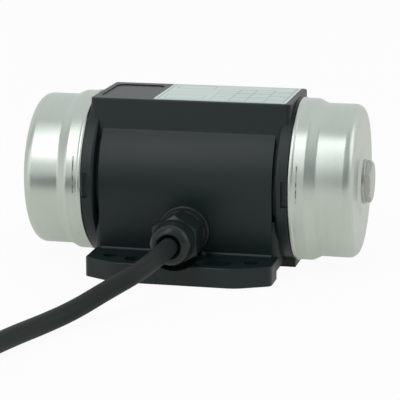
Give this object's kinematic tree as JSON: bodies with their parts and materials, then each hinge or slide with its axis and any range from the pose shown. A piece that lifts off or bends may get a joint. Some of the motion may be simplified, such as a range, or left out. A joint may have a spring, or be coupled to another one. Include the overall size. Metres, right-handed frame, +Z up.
{
  "type": "vibration motor",
  "caption": "Small external vibration motor: cast housing on a slotted foot, drawn steel end caps over adjustable eccentric weights, cable gland and rubber cable.",
  "frame": {"origin": "middle of the four foot slots, on the underside of the foot", "axes": "+X along the shaft, -Y towards the cable gland, +Z up from the foot to the top block"},
  "size_m": [0.2342, 0.3092, 0.077],
  "materials": {
    "housing_paint": "dark grey paint, satin",
    "plate": "satin off-white plate",
    "lamination": "stacked electrical steel",
    "winding": "varnished, bound end windings",
    "rotor_aluminium": "cast",
    "screw": "black oxide",
    "shaft_steel": "ground",
    "bearing_steel": "polished",
    "shield_aluminium": "machined casting",
    "seal_rubber": "matte",
    "cap_stainless": "satin stainless, deep drawn",
    "bolt_stainless": "stainless, satin",
    "zinc_steel": "zinc plated",
    "weight_steel": "yellow zinc plated",
    "gland_nylon": "glossy black nylon",
    "cable_jacket": "matte dark grey",
    "core_insulation": "satin core insulation"
  },
  "bodies": {
    "housing": {"bearing_outer_left": "bearing_steel", "bearing_outer_right": "bearing_steel", "bridge_bar_left": "zinc_steel", "bridge_bar_right": "zinc_steel", "bridge_posts_left": "zinc_steel", "bridge_posts_right": "zinc_steel", "bridge_screws_left": "screw", "bridge_screws_right": "screw", "cable_coil": "cable_jacket", "cable_cores": "core_insulation", "cable_entry": "cable_jacket", "cable_run": "cable_jacket", "cable_tail": "cable_jacket", "end_shield_left": "shield_aluminium", "end_shield_right": "shield_aluminium", "gland_body": "gland_nylon", "gland_gasket": "seal_rubber", "gland_insert": "seal_rubber", "gland_nut": "gland_nylon", "housing": "housing_paint", "lead_wires": "core_insulation", "preload_washer_left": "shaft_steel", "preload_washer_right": "shaft_steel", "rating_plate": "plate", "seal_ring_left": "seal_rubber", "seal_ring_right": "seal_rubber", "shield_screws": "screw", "stator_core": "lamination", "stator_winding": "winding"},
    "rotor": {"shaft": "shaft_steel", "rotor_core": "lamination", "rotor_cage": "rotor_aluminium", "bearing_inner_left": "bearing_steel", "bearing_inner_right": "bearing_steel", "shaft_spacer_left": "shaft_steel", "shaft_spacer_right": "shaft_steel", "shaft_key_left": "shaft_steel", "shaft_key_right": "shaft_steel", "circlip_left": "shaft_steel", "circlip_right": "shaft_steel", "fixed_weight_left": "weight_steel", "fixed_weight_right": "weight_steel"},
    "set_weight_left": {"outer_weight_left": "weight_steel", "clamp_screw_left": "screw"},
    "ball_set_left": {"bearing_balls_left": "bearing_steel", "bearing_cage_left": "bearing_steel"},
    "end_cap_left": {"cap_left": "cap_stainless", "cap_washer_left": "cap_stainless", "cap_bolt_left": "bolt_stainless"},
    "set_weight_right": {"outer_weight_right": "weight_steel", "clamp_screw_right": "screw"},
    "ball_set_right": {"bearing_balls_right": "bearing_steel", "bearing_cage_right": "bearing_steel"},
    "end_cap_right": {"cap_right": "cap_stainless", "cap_washer_right": "cap_stainless", "cap_bolt_right": "bolt_stainless"}
  },
  "joints": [
    {"name": "shaft_spin", "type": "hinge", "parent": "housing", "child": "rotor", "pos_m": [0, 0, 0.0389], "axis": [1, 0, 0], "continuous": true},
    {"name": "weight_set_left", "type": "hinge", "parent": "rotor", "child": "set_weight_left", "pos_m": [-0.0641, 0, 0.0389], "axis": [1, 0, 0], "range_deg": [0, 180]},
    {"name": "ball_run_left", "type": "hinge", "parent": "housing", "child": "ball_set_left", "pos_m": [-0.045, 0, 0.0389], "axis": [1, 0, 0], "continuous": true},
    {"name": "cap_pull_left", "type": "slide", "parent": "housing", "child": "end_cap_left", "axis": [-1, 0, 0], "range_m": [0, 0.04]},
    {"name": "weight_set_right", "type": "hinge", "parent": "rotor", "child": "set_weight_right", "pos_m": [0.0641, 0, 0.0389], "axis": [1, 0, 0], "range_deg": [0, 180]},
    {"name": "ball_run_right", "type": "hinge", "parent": "housing", "child": "ball_set_right", "pos_m": [0.045, 0, 0.0389], "axis": [1, 0, 0], "continuous": true},
    {"name": "cap_pull_right", "type": "slide", "parent": "housing", "child": "end_cap_right", "axis": [1, 0, 0], "range_m": [0, 0.04]}
  ],
  "couplings": [
    {"joint": "ball_run_left", "follows": "shaft_spin", "ratio": 0.3665},
    {"joint": "ball_run_right", "follows": "shaft_spin", "ratio": 0.3665}
  ]
}
